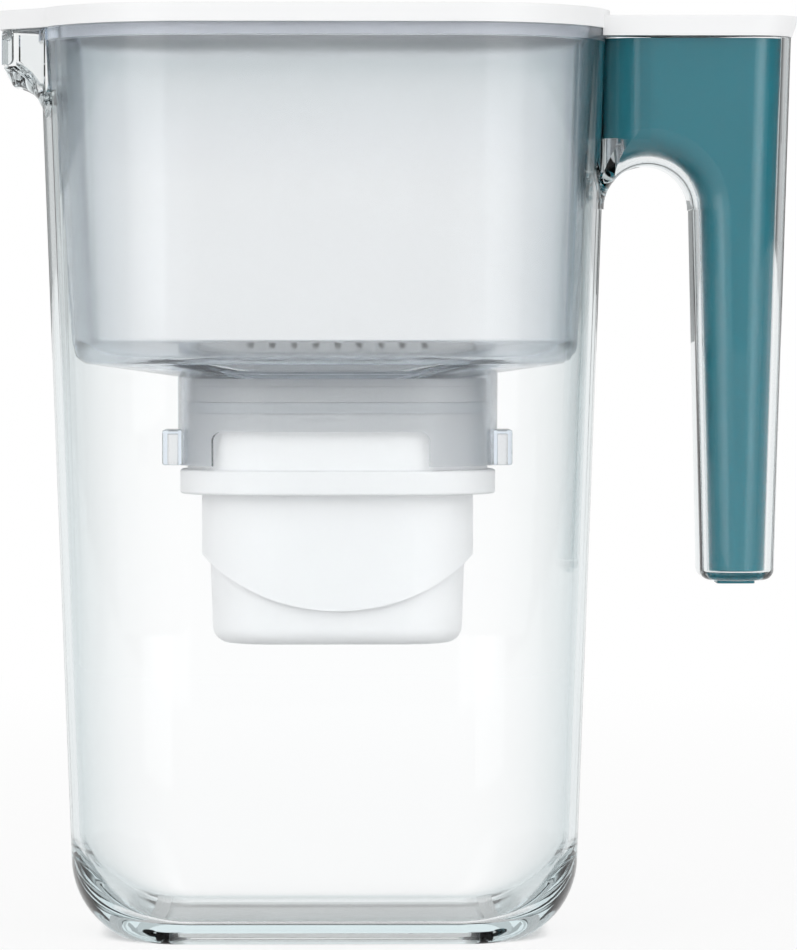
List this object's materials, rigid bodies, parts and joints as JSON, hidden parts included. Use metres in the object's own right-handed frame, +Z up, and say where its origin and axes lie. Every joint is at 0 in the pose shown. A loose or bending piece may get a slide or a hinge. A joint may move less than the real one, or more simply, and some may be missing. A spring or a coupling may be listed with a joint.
{
  "type": "water filter pitcher",
  "caption": "Clear water filter pitcher: jug with a cored handle, hanging hopper, push-in filter cartridge and white lid with a flip-up filling flap and a spout flap.",
  "frame": {"origin": "on the table, under the middle of the overall box", "axes": "+Z up, +X towards the handle, -X towards the spout, +Y to the far broad side"},
  "size_m": [0.2382, 0.1032, 0.275],
  "materials": {
    "clear_plastic": "clear moulded copolyester, polished",
    "hopper_plastic": "clear moulded plastic with a faint blue tint",
    "teal_plastic": "opaque teal moulded plastic, smooth",
    "white_plastic": "white moulded plastic, soft gloss",
    "cartridge_plastic": "white moulded plastic, fine matt",
    "seal_rubber": "soft pale seal",
    "filter_felt": "fine white felt",
    "carbon": "black granules, matt",
    "resin": "amber beads, satin",
    "pin_steel": "drawn stainless wire"
  },
  "bodies": {
    "jug_body": {"jug": "clear_plastic", "spout": "clear_plastic", "spout_lip": "clear_plastic", "handle_shell": "clear_plastic", "handle_core": "teal_plastic"},
    "hopper_body": {"hopper": "hopper_plastic", "hopper_floor": "hopper_plastic", "hopper_rim": "hopper_plastic", "filter_well": "hopper_plastic"},
    "cartridge_body": {"cartridge_cup": "cartridge_plastic", "cartridge_cap": "cartridge_plastic", "cartridge_seal": "seal_rubber", "inlet_screen": "filter_felt", "carbon_bed": "carbon", "bed_divider": "filter_felt", "resin_bed": "resin", "outlet_screen": "filter_felt"},
    "lid_body": {"lid": "white_plastic", "flap_ears": "white_plastic", "fill_flap_pin": "pin_steel", "spout_flap_pin": "pin_steel"},
    "fill_flap_body": {"fill_flap": "white_plastic"},
    "spout_flap_body": {"spout_flap": "clear_plastic"}
  },
  "joints": [
    {"name": "hopper_lift", "type": "slide", "parent": "jug_body", "child": "hopper_body", "axis": [0, 0, 1], "range_m": [0, 0.185]},
    {"name": "cartridge_pull", "type": "slide", "parent": "hopper_body", "child": "cartridge_body", "axis": [0, 0, -1], "range_m": [0, 0.045]},
    {"name": "lid_lift", "type": "slide", "parent": "hopper_body", "child": "lid_body", "axis": [0, 0, 1], "range_m": [0, 0.05]},
    {"name": "fill_flap_hinge", "type": "hinge", "parent": "lid_body", "child": "fill_flap_body", "pos_m": [-0.0568, 0, 0.2733], "axis": [0, -1, 0], "range_deg": [0, 95]},
    {"name": "spout_flap_hinge", "type": "hinge", "parent": "lid_body", "child": "spout_flap_body", "pos_m": [-0.1173, 0, 0.2679], "axis": [0, 1, 0], "range_deg": [0, 75]}
  ]
}
